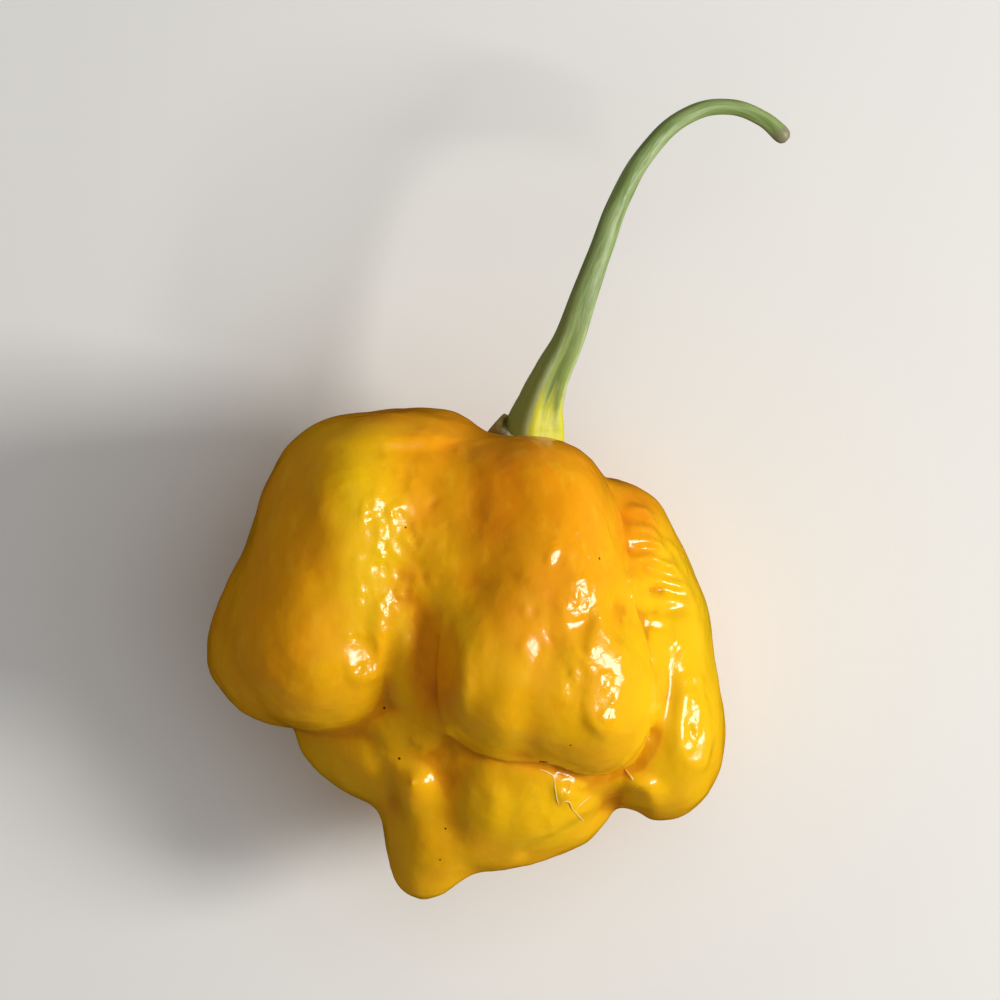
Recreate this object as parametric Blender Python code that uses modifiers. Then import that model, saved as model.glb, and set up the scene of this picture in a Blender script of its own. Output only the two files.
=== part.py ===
"""A bonnet chilli pepper, just picked, lying on its back.

Metres, +Z up. The pod's tail points to -Y and its stalk to +Y, and the floor is z = 0.
Three pieces: the pod, the calyx that caps it and the stalk with its flared foot.
"""

import math

import bmesh
import bpy
from mathutils import Matrix, Vector

MM = 0.001

# Driving dimensions, in millimetres. They are measured from the drawing's own zero, and
# the finished pieces move so that the floor's centre is at the origin.
FLOOR_HEIGHT = 3.5          # where the back lobes are cut flat to rest
STALK_THICKNESS = 2.0       # across the stalk, half way along
STALK_RIBS = 6
STALK_RIB_DEPTH = 0.07      # as a share of the radius
CALYX_WIDTH = 7.2           # across its five blunt points
CALYX_THICKNESS = 4.2       # of the whole cushion, before the stalk and the pod press into it
CALYX_POINTS = 5
CALYX_POINT_REACH = 0.1     # how far a point stands out, as a share of the radius
CALYX_POINT_RISE = 0.25     # and how much thicker the cushion is there
# The cushion's middle, measured from the stalk's foot: to -X, to +Z and along the stalk.
CALYX_OFFSET = (0.5, -0.5, -0.9)
SEAT_GAP = 0.3              # clearance between two pieces that touch in life
HOLLOW_DEPTH = 1.6          # of the hollow that the calyx sits in
HOLLOW_RADIUS = 5.6

# Each swelling of the pod is a run of ellipsoids along a spine.
# A station is x, y, z of the spine and the half width, half length and half depth there.
SWELLINGS = {
    "core": [
        (0.0, -1.4, 19.0, 8.5, 6.0, 9.0),
        (-1.0, -12.0, 18.5, 12.0, 9.0, 11.0),
    ],
    "left lobe": [
        (-6.2, 0.5, 20.0, 8.0, 8.6, 11.0),
        (-12.2, -0.7, 23.3, 9.3, 9.2, 11.5),
        (-16.2, -12.0, 24.0, 8.8, 8.6, 11.0),
    ],
    "left lobe corner": [
        (-16.4, -10.0, 22.8, 8.8, 7.8, 10.2),
        (-17.9, -13.1, 22.2, 8.5, 7.3, 9.8),
    ],
    "left lobe flank": [
        (-8.6, -2.8, 23.2, 6.6, 7.5, 9.3),
        (-14.0, -12.6, 24.6, 5.8, 7.6, 9.8),
    ],
    "saddle": [
        (-3.4, -0.2, 24.4, 8.4, 6.6, 9.0),
        (-2.6, -6.6, 24.9, 9.5, 6.6, 9.4),
        (-2.0, -11.2, 25.0, 6.8, 6.0, 8.4),
        (-3.0, -16.6, 23.0, 7.2, 6.6, 8.6),
    ],
    "front lobe": [
        (3.2, 0.8, 25.2, 7.1, 5.7, 8.8),
        (3.4, -6.2, 26.0, 8.3, 7.2, 10.0),
        (0.4, -14.6, 27.1, 6.7, 8.3, 9.6),
    ],
    "front lobe corner": [
        (4.4, -14.9, 26.7, 8.0, 8.3, 9.2),
        (8.3, -17.2, 25.9, 6.3, 7.4, 8.8),
    ],
    "right lobe": [
        (10.2, -4.2, 17.9, 6.5, 6.9, 8.5),
        (12.5, -10.6, 17.2, 7.1, 7.4, 9.2),
        (15.2, -21.1, 17.5, 5.9, 8.2, 8.8),
        (12.0, -22.8, 17.8, 5.2, 5.2, 8.2),
    ],
    "back left lobe": [
        (-7.6, -1.6, 13.0, 8.4, 7.6, 8.6),
        (-10.5, -13.0, 11.2, 8.6, 8.4, 8.8),
    ],
    "back right lobe": [
        (5.0, -3.4, 12.6, 7.4, 6.8, 8.6),
        (7.6, -15.0, 11.0, 8.0, 8.4, 8.6),
    ],
    "lower body": [
        (-3.5, -17.5, 17.5, 15.0, 8.8, 10.5),
        (-3.7, -20.1, 17.5, 15.0, 8.9, 10.0),
    ],
    "lower bulge": [
        (2.2, -20.4, 21.0, 9.0, 7.8, 8.8),
        (1.8, -25.4, 19.8, 9.0, 6.8, 8.0),
    ],
    "web": [
        (3.8, -26.1, 18.5, 7.2, 6.4, 7.0),
        (0.0, -27.7, 18.7, 6.6, 5.9, 7.0),
        (-4.6, -28.2, 18.2, 5.2, 5.6, 6.4),
    ],
    "tail": [
        (-4.6, -24.0, 18.4, 6.0, 6.4, 8.0),
        (-5.0, -29.6, 18.1, 5.5, 4.8, 6.2),
        (-6.6, -33.2, 18.0, 3.4, 3.3, 3.6),
    ],
    "nub": [
        (-7.3, -24.8, 25.2, 2.3, 2.1, 2.2),
        (-7.2, -27.4, 22.4, 2.0, 2.2, 2.0),
    ],
}

BEADS_PER_SPAN = 6
BEAD_SEGMENTS = 24
BEAD_RINGS = 14
LOBE_VOXEL = 0.7
POD_VOXEL = 0.6
SMOOTH_FACTOR = 0.5         # of each smoothing pass
LOBE_SMOOTHING = 12         # passes that melt the beads of one swelling together
POD_SMOOTHING = 5           # passes that soften the folds between swellings
SHOULDER_PASSES = 40        # more of them up where the lobes run together
SHOULDER_FADE = (-14.0, 2.0)    # from none of those passes to all of them, along Y
POD_TRIANGLES = 9500

# Centre line of the stalk, from the foot to the cut end: x, y, z and its thickness over
# the half-way thickness.
STALK_LINE = [
    (3.15, 6.4, 18.9, 2.6),
    (3.35, 7.5, 19.3, 2.4),
    (3.75, 9.1, 19.9, 1.96),
    (4.65, 11.5, 20.6, 1.6),
    (6.1, 14.4, 21.2, 1.36),
    (7.65, 18.7, 21.7, 1.2),
    (9.2, 23.0, 21.8, 1.04),
    (10.85, 27.4, 21.6, 0.94),
    (13.4, 31.8, 21.0, 0.86),
    (17.0, 35.1, 20.2, 0.78),
    (20.6, 36.0, 19.4, 0.72),
    (23.9, 35.0, 18.8, 0.74),
    (26.2, 33.1, 18.4, 0.86),
]
STALK_STEPS = 4             # rings between two points of the line
STALK_SIDES = 36
CAP_WELD = 0.001            # joins the stalk's flat ends to its sides
CALYX_SEGMENTS = 50
CALYX_RINGS = 18


def clear_scene():
    for obj in list(bpy.data.objects):
        bpy.data.objects.remove(obj, do_unlink=True)


def new_collection(name):
    group = bpy.data.collections.new(name)
    bpy.context.scene.collection.children.link(group)
    return group


def finish_of(name, colour, roughness):
    """A plain Principled finish."""
    finish = bpy.data.materials.new(name)
    finish.use_nodes = True
    shader = finish.node_tree.nodes["Principled BSDF"]
    shader.inputs["Base Color"].default_value = (*colour, 1.0)
    shader.inputs["Roughness"].default_value = roughness
    shader.inputs["Metallic"].default_value = 0.0
    return finish


def object_of(name, mesh, group):
    obj = bpy.data.objects.new(name, mesh)
    group.objects.link(obj)
    return obj


def evaluated_mesh(obj):
    """A plain mesh of the object as its modifiers leave it."""
    bpy.context.view_layer.update()
    graph = bpy.context.evaluated_depsgraph_get()
    return bpy.data.meshes.new_from_object(obj.evaluated_get(graph))


def add_remesh(obj, voxel):
    remesh = obj.modifiers.new("melt", "REMESH")
    remesh.mode = "VOXEL"
    remesh.voxel_size = voxel * MM
    remesh.use_smooth_shade = True


def add_smooth(obj, passes):
    smooth = obj.modifiers.new("soften", "SMOOTH")
    smooth.factor = SMOOTH_FACTOR
    smooth.iterations = passes


def string_of_beads(stations):
    """One mesh of overlapping ellipsoids that follow the stations."""
    form = bmesh.new()
    for first, second in zip(stations, stations[1:]):
        for bead in range(BEADS_PER_SPAN + 1):
            share = bead / BEADS_PER_SPAN
            values = [a + (b - a) * share for a, b in zip(first, second)]
            place = Matrix.Translation(Vector(values[:3]) * MM)
            stretch = Matrix.Diagonal(Vector(values[3:]) * MM).to_4x4()
            bmesh.ops.create_uvsphere(
                form,
                u_segments=BEAD_SEGMENTS,
                v_segments=BEAD_RINGS,
                radius=1.0,
                matrix=place @ stretch,
            )
    mesh = bpy.data.meshes.new("beads")
    form.to_mesh(mesh)
    form.free()
    return mesh


def make_pod(group):
    """Melts each swelling by itself, then all of them into one skin with folds between."""
    form = bmesh.new()
    for name, stations in SWELLINGS.items():
        swelling = object_of(name, string_of_beads(stations), group)
        add_remesh(swelling, LOBE_VOXEL)
        add_smooth(swelling, LOBE_SMOOTHING)
        form.from_mesh(evaluated_mesh(swelling))
        bpy.data.objects.remove(swelling)
    mesh = bpy.data.meshes.new("pod")
    form.to_mesh(mesh)
    form.free()
    pod = object_of("pod", mesh, group)
    add_remesh(pod, POD_VOXEL)
    add_smooth(pod, POD_SMOOTHING)
    finish_skin(pod)
    return pod


def melt_shoulders(form):
    """Smooths the skin again and again, each time over less of it, nearer the stalk."""
    low, high = SHOULDER_FADE
    for turn in range(SHOULDER_PASSES):
        edge = (low + (high - low) * turn / SHOULDER_PASSES) * MM
        near = [vert for vert in form.verts if vert.co.y > edge]
        bmesh.ops.smooth_vert(
            form,
            verts=near,
            factor=SMOOTH_FACTOR,
            use_axis_x=True,
            use_axis_y=True,
            use_axis_z=True,
        )


def press_hollow(form):
    """Presses the skin in along the stalk's own direction, most under the calyx."""
    foot, along = stalk_foot()
    for vert in form.verts:
        offset = vert.co - foot
        height = offset.dot(along)
        aside = (offset - along * height).length / (HOLLOW_RADIUS * MM)
        if aside < 1.0 and height > -HOLLOW_RADIUS * MM:
            vert.co -= along * HOLLOW_DEPTH * MM * (1.0 - aside ** 2) ** 2


def cut_flat(form):
    """Cuts the back lobes off at the floor and closes each cut with a flat face."""
    cut = bmesh.ops.bisect_plane(
        form,
        geom=form.verts[:] + form.edges[:] + form.faces[:],
        plane_co=(0.0, 0.0, FLOOR_HEIGHT * MM),
        plane_no=(0.0, 0.0, 1.0),
        clear_inner=True,
    )
    rim = [item for item in cut["geom_cut"] if isinstance(item, bmesh.types.BMEdge)]
    bmesh.ops.holes_fill(form, edges=rim, sides=0)


def finish_skin(pod):
    """Softens the shoulders, hollows the seat, thins the mesh out and cuts it flat below."""
    form = bmesh.new()
    form.from_mesh(evaluated_mesh(pod))
    pod.modifiers.clear()
    melt_shoulders(form)
    press_hollow(form)
    form.to_mesh(pod.data)
    thin = pod.modifiers.new("thin out", "DECIMATE")
    thin.ratio = POD_TRIANGLES / (2 * len(form.faces))    # each face is a quad
    form.clear()
    form.from_mesh(evaluated_mesh(pod))
    pod.modifiers.clear()
    cut_flat(form)
    form.to_mesh(pod.data)
    form.free()
    pod.data.shade_smooth()


def stalk_foot():
    """The middle of the stalk's foot, and the direction that the stalk leaves in."""
    first, second = (Vector(point[:3]) * MM for point in STALK_LINE[:2])
    return first, (second - first).normalized()


def ribbed_ring(group):
    """The stalk's cross section, a circle of radius 1 with soft ribs."""
    ring = bpy.data.curves.new("stalk section", "CURVE")
    line = ring.splines.new("POLY")
    line.points.add(STALK_SIDES - 1)
    for number, point in enumerate(line.points):
        turn = math.tau * number / STALK_SIDES
        radius = 1.0 + STALK_RIB_DEPTH * math.cos(STALK_RIBS * turn)
        point.co = (radius * math.cos(turn), radius * math.sin(turn), 0.0, 1.0)
    line.use_cyclic_u = True
    section = bpy.data.objects.new("stalk section", ring)
    group.objects.link(section)
    section.hide_render = True
    return section


def make_stalk(group):
    """Sweeps the ribbed ring along the centre line, wide at the foot."""
    path = bpy.data.curves.new("stalk", "CURVE")
    path.dimensions = "3D"
    path.resolution_u = STALK_STEPS
    path.bevel_mode = "OBJECT"
    path.bevel_object = ribbed_ring(group)
    path.use_fill_caps = True
    line = path.splines.new("BEZIER")
    line.bezier_points.add(len(STALK_LINE) - 1)
    for point, (x, y, z, thickness) in zip(line.bezier_points, STALK_LINE):
        point.co = Vector((x, y, z)) * MM
        point.handle_left_type = "AUTO"
        point.handle_right_type = "AUTO"
        point.radius = thickness * STALK_THICKNESS / 2 * MM
    sweep = object_of("stalk sweep", path, group)
    form = bmesh.new()
    form.from_mesh(evaluated_mesh(sweep))
    bpy.data.objects.remove(path.bevel_object)
    bpy.data.objects.remove(sweep)
    bmesh.ops.remove_doubles(form, verts=form.verts, dist=CAP_WELD * MM)
    bmesh.ops.recalc_face_normals(form, faces=form.faces)
    mesh = bpy.data.meshes.new("stalk")
    form.to_mesh(mesh)
    form.free()
    return object_of("stalk", mesh, group)


def swollen_copy(obj, group):
    """A hidden copy of the piece, bigger all round by the seat gap, to cut others with."""
    copy = object_of(f"{obj.name} clearance", obj.data.copy(), group)
    swell = copy.modifiers.new("clearance", "DISPLACE")
    swell.mid_level = 0.0
    swell.strength = SEAT_GAP * MM
    copy.hide_render = True
    copy.display_type = "WIRE"
    return copy


def cushion_mesh():
    """A flattened ball with blunt points, standing on the stalk's own axis."""
    form = bmesh.new()
    bmesh.ops.create_uvsphere(
        form, u_segments=CALYX_SEGMENTS, v_segments=CALYX_RINGS, radius=1.0
    )
    for vert in form.verts:
        point = math.cos(CALYX_POINTS * math.atan2(vert.co.y, vert.co.x))
        reach = (1.0 + CALYX_POINT_REACH * point) / (1.0 + CALYX_POINT_REACH)
        rim = math.hypot(vert.co.x, vert.co.y)
        vert.co.x *= reach * CALYX_WIDTH / 2 * MM
        vert.co.y *= reach * CALYX_WIDTH / 2 * MM
        vert.co.z *= (1.0 + CALYX_POINT_RISE * point * rim) * CALYX_THICKNESS / 2 * MM
    foot, along = stalk_foot()
    stand = along.to_track_quat("Z", "Y").to_matrix().to_4x4()
    offset = Matrix.Translation(Vector(CALYX_OFFSET) * MM)
    place = Matrix.Translation(foot) @ stand @ offset
    bmesh.ops.transform(form, matrix=place, verts=form.verts)
    mesh = bpy.data.meshes.new("calyx")
    form.to_mesh(mesh)
    form.free()
    return mesh


def make_calyx(neighbours, group):
    """Presses the pod and the stalk's foot into the cushion, each with its clearance."""
    calyx = object_of("calyx", cushion_mesh(), group)
    cutters = [swollen_copy(neighbour, group) for neighbour in neighbours]
    for cutter in cutters:
        seat = calyx.modifiers.new(f"seat of {cutter.name}", "BOOLEAN")
        seat.object = cutter
        seat.operation = "DIFFERENCE"
        seat.solver = "EXACT"
    seated = evaluated_mesh(calyx)
    calyx.modifiers.clear()
    calyx.data = seated
    for cutter in cutters:
        bpy.data.objects.remove(cutter)
    return calyx


def settle(pieces):
    """Moves the meshes so that the origin is under the middle of the whole, on the floor."""
    points = [vert.co for piece in pieces for vert in piece.data.vertices]
    low = [min(point[axis] for point in points) for axis in range(3)]
    high = [max(point[axis] for point in points) for axis in range(3)]
    middle = Vector(((low[0] + high[0]) / 2, (low[1] + high[1]) / 2, low[2]))
    for piece in pieces:
        piece.data.transform(Matrix.Translation(-middle))


def main():
    clear_scene()
    group = new_collection("chilli pepper")
    pod = make_pod(group)
    stalk = make_stalk(group)
    calyx = make_calyx([pod, stalk], group)
    settle([pod, calyx, stalk])
    pod.data.materials.append(finish_of("pod skin", (0.85, 0.42, 0.01), 0.25))
    calyx.data.materials.append(finish_of("calyx", (0.18, 0.13, 0.03), 0.6))
    stalk.data.materials.append(finish_of("stalk", (0.25, 0.33, 0.08), 0.5))


main()
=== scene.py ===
import math
import bpy
import numpy as np
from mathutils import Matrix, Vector, noise


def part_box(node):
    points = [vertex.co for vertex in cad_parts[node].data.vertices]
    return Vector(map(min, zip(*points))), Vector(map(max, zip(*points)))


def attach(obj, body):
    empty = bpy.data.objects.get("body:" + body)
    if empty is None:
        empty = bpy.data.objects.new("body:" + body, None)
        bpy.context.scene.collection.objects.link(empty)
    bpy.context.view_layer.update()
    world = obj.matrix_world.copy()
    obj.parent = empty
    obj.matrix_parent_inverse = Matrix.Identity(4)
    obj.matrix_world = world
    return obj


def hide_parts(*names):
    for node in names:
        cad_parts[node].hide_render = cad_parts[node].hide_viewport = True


# A bonnet chilli pepper lying on its back, seen from straight above.
# Metres throughout. +Y runs to the stalk and +Z up to the camera.
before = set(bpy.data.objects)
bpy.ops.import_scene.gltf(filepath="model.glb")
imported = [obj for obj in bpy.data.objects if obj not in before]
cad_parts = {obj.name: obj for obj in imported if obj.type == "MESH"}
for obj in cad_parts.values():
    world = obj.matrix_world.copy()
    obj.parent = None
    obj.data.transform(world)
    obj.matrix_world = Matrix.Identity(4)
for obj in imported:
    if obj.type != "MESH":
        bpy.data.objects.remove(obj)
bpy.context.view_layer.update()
mm = 0.001


# Small helpers for the outliner, the modifiers and the vertices

def deselectAll():
    if bpy.context.object and bpy.context.object.mode != "OBJECT":
        bpy.ops.object.mode_set(mode="OBJECT")
    bpy.ops.object.select_all(action="DESELECT")


def pick(piece):
    deselectAll()
    bpy.context.view_layer.objects.active = piece
    piece.select_set(True)


def copyOfNode(node, name):
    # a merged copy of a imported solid, because its own mesh is loose triangles
    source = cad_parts[node]
    piece = bpy.data.objects.new(name, source.data.copy())
    bpy.context.scene.collection.objects.link(piece)
    piece.data.materials.clear()
    pick(piece)
    bpy.ops.object.mode_set(mode="EDIT")
    bpy.ops.mesh.select_all(action="SELECT")
    bpy.ops.mesh.remove_doubles(threshold=0.002 * mm)
    bpy.ops.object.mode_set(mode="OBJECT")
    return piece


def applyModifier(piece, kind, **settings):
    pick(piece)
    modifier = piece.modifiers.new(kind.lower(), kind)
    for key, value in settings.items():
        setattr(modifier, key, value)
    bpy.ops.object.modifier_apply(modifier=modifier.name)


def readPoints(piece):
    points = np.empty(len(piece.data.vertices) * 3)
    piece.data.vertices.foreach_get("co", points)
    return points.reshape(-1, 3)


def readNormals(piece):
    normals = np.empty(len(piece.data.vertices) * 3)
    piece.data.vertex_normals.foreach_get("vector", normals)
    return normals.reshape(-1, 3)


def writePoints(piece, points):
    piece.data.vertices.foreach_set("co", points.reshape(-1))
    piece.data.update()


def writeShade(piece, name, values):
    # a number for each vertex, which the material reads by name
    layer = piece.data.attributes.new(name, "FLOAT", "POINT")
    layer.data.foreach_set("value", np.clip(values, 0.0, 1.0).astype(np.float32))


def lumps(points, cell, seed):
    # smooth noise from -1 to 1 with features of about two cells
    scaled = points / (cell * mm) + seed
    return np.array([noise.noise(Vector(p)) for p in scaled])


def easeBetween(values, low, high):
    share = np.clip((values - low) / (high - low), 0.0, 1.0)
    return share * share * (3.0 - 2.0 * share)


def smoothedPoints(piece, points, passes):
    # each point moves to the middle of its neighbours, again and again
    edges = np.empty(len(piece.data.edges) * 2, dtype=np.int64)
    piece.data.edges.foreach_get("vertices", edges)
    ends = np.concatenate([edges[0::2], edges[1::2]])
    others = np.concatenate([edges[1::2], edges[0::2]])
    count = np.bincount(ends, minlength=len(points)).astype(float)
    count[count == 0] = 1.0
    for _ in range(passes):
        totals = [
            np.bincount(ends, weights=points[others, axis], minlength=len(points))
            for axis in range(3)
        ]
        points = np.stack(totals, axis=1) / count[:, None]
    return points


leftFade = (-0.08, 0.12)            # how sharply the left side of a line starts


def distanceToLine(points, line):
    # from each point to a chain of straight pieces, seen from above, and 1 on its left side
    best = np.full(len(points), 1.0)
    left = np.zeros(len(points))
    for start, end in zip(line, line[1:]):
        a = np.array(start) * mm
        run = np.array(end) * mm - a
        offset = points[:, :2] - a
        share = np.clip(offset @ run / (run @ run), 0.0, 1.0)
        away = np.linalg.norm(offset - share[:, None] * run, axis=1)
        across = (run[0] * offset[:, 1] - run[1] * offset[:, 0]) / np.linalg.norm(run)
        nearer = away < best
        best[nearer] = away[nearer]
        left[nearer] = easeBetween(across[nearer] / mm, *leftFade)
    return best, left


def placeAbove(piece, x, y):
    # the highest place of the piece at this x and y
    hit, place, _, _ = piece.ray_cast(Vector((x * mm, y * mm, 0.1)), Vector((0, 0, -1)))
    return place if hit else None


# Node helpers

def newMaterial(name):
    material = bpy.data.materials.new(name)
    material.use_nodes = True
    tree = material.node_tree
    return material, tree, tree.nodes["Principled BSDF"]


def addNode(tree, kind, inputs=None, **settings):
    node = tree.nodes.new(kind)
    for key, value in settings.items():
        setattr(node, key, value)
    for key, value in (inputs or {}).items():
        if isinstance(value, bpy.types.NodeSocket):
            tree.links.new(value, node.inputs[key])
        else:
            node.inputs[key].default_value = value
    return node


def shadeOf(tree, name):
    return addNode(tree, "ShaderNodeAttribute", attribute_name=name).outputs["Fac"]


def sums(tree, operation, first, second, clamp=False):
    node = addNode(tree, "ShaderNodeMath", {0: first, 1: second}, operation=operation)
    node.use_clamp = clamp
    return node.outputs[0]


def mapped(tree, value, fromLow, fromHigh, toLow=0.0, toHigh=1.0, smooth=False):
    node = addNode(
        tree,
        "ShaderNodeMapRange",
        {"Value": value, "From Min": fromLow, "From Max": fromHigh,
         "To Min": toLow, "To Max": toHigh},
        interpolation_type="SMOOTHSTEP" if smooth else "LINEAR",
    )
    return node.outputs["Result"]


def blended(tree, share, first, second):
    node = addNode(tree, "ShaderNodeMix", data_type="RGBA")
    for key, value in ((0, share), (6, first), (7, second)):
        if isinstance(value, bpy.types.NodeSocket):
            tree.links.new(value, node.inputs[key])
        elif key == 0:
            node.inputs[key].default_value = value
        else:
            node.inputs[key].default_value = (*value, 1.0)
    return node.outputs[2]


# Plant grain, which the skin, the calyx and the stalk all share.
# Height is the fine relief, and Mottle a slow change of tone.

def buildPlantGrain():
    tree = bpy.data.node_groups.new("plantGrain", "ShaderNodeTree")
    face = tree.interface
    face.new_socket("Vector", in_out="INPUT", socket_type="NodeSocketVector")
    for name, value in (("Grain Scale", 1000.0), ("Mottle Scale", 200.0), ("Roughen", 0.5)):
        socket = face.new_socket(name, in_out="INPUT", socket_type="NodeSocketFloat")
        socket.default_value = value
    for name in ("Height", "Mottle"):
        face.new_socket(name, in_out="OUTPUT", socket_type="NodeSocketFloat")
    inlet = addNode(tree, "NodeGroupInput")
    outlet = addNode(tree, "NodeGroupOutput")
    vector = inlet.outputs["Vector"]
    grain = addNode(tree, "ShaderNodeTexNoise", {
        "Vector": vector, "Scale": inlet.outputs["Grain Scale"],
        "Detail": 2.0, "Roughness": inlet.outputs["Roughen"],
    })
    mottle = addNode(tree, "ShaderNodeTexNoise", {
        "Vector": vector, "Scale": inlet.outputs["Mottle Scale"],
        "Detail": 3.0, "Roughness": 0.55, "Distortion": 0.6,
    })
    tree.links.new(grain.outputs["Fac"], outlet.inputs["Height"])
    tree.links.new(mottle.outputs["Fac"], outlet.inputs["Mottle"])
    return tree


plantGrain = buildPlantGrain()


def grainIn(tree, vector, grainScale, mottleScale, roughen):
    node = addNode(tree, "ShaderNodeGroup", node_tree=plantGrain)
    tree.links.new(vector, node.inputs["Vector"])
    node.inputs["Grain Scale"].default_value = grainScale
    node.inputs["Mottle Scale"].default_value = mottleScale
    node.inputs["Roughen"].default_value = roughen
    return node.outputs["Height"], node.outputs["Mottle"]


# The pod's skin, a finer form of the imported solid.
# Places are in millimetres, x to the right and y towards the stalk, as seen from above.

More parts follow.
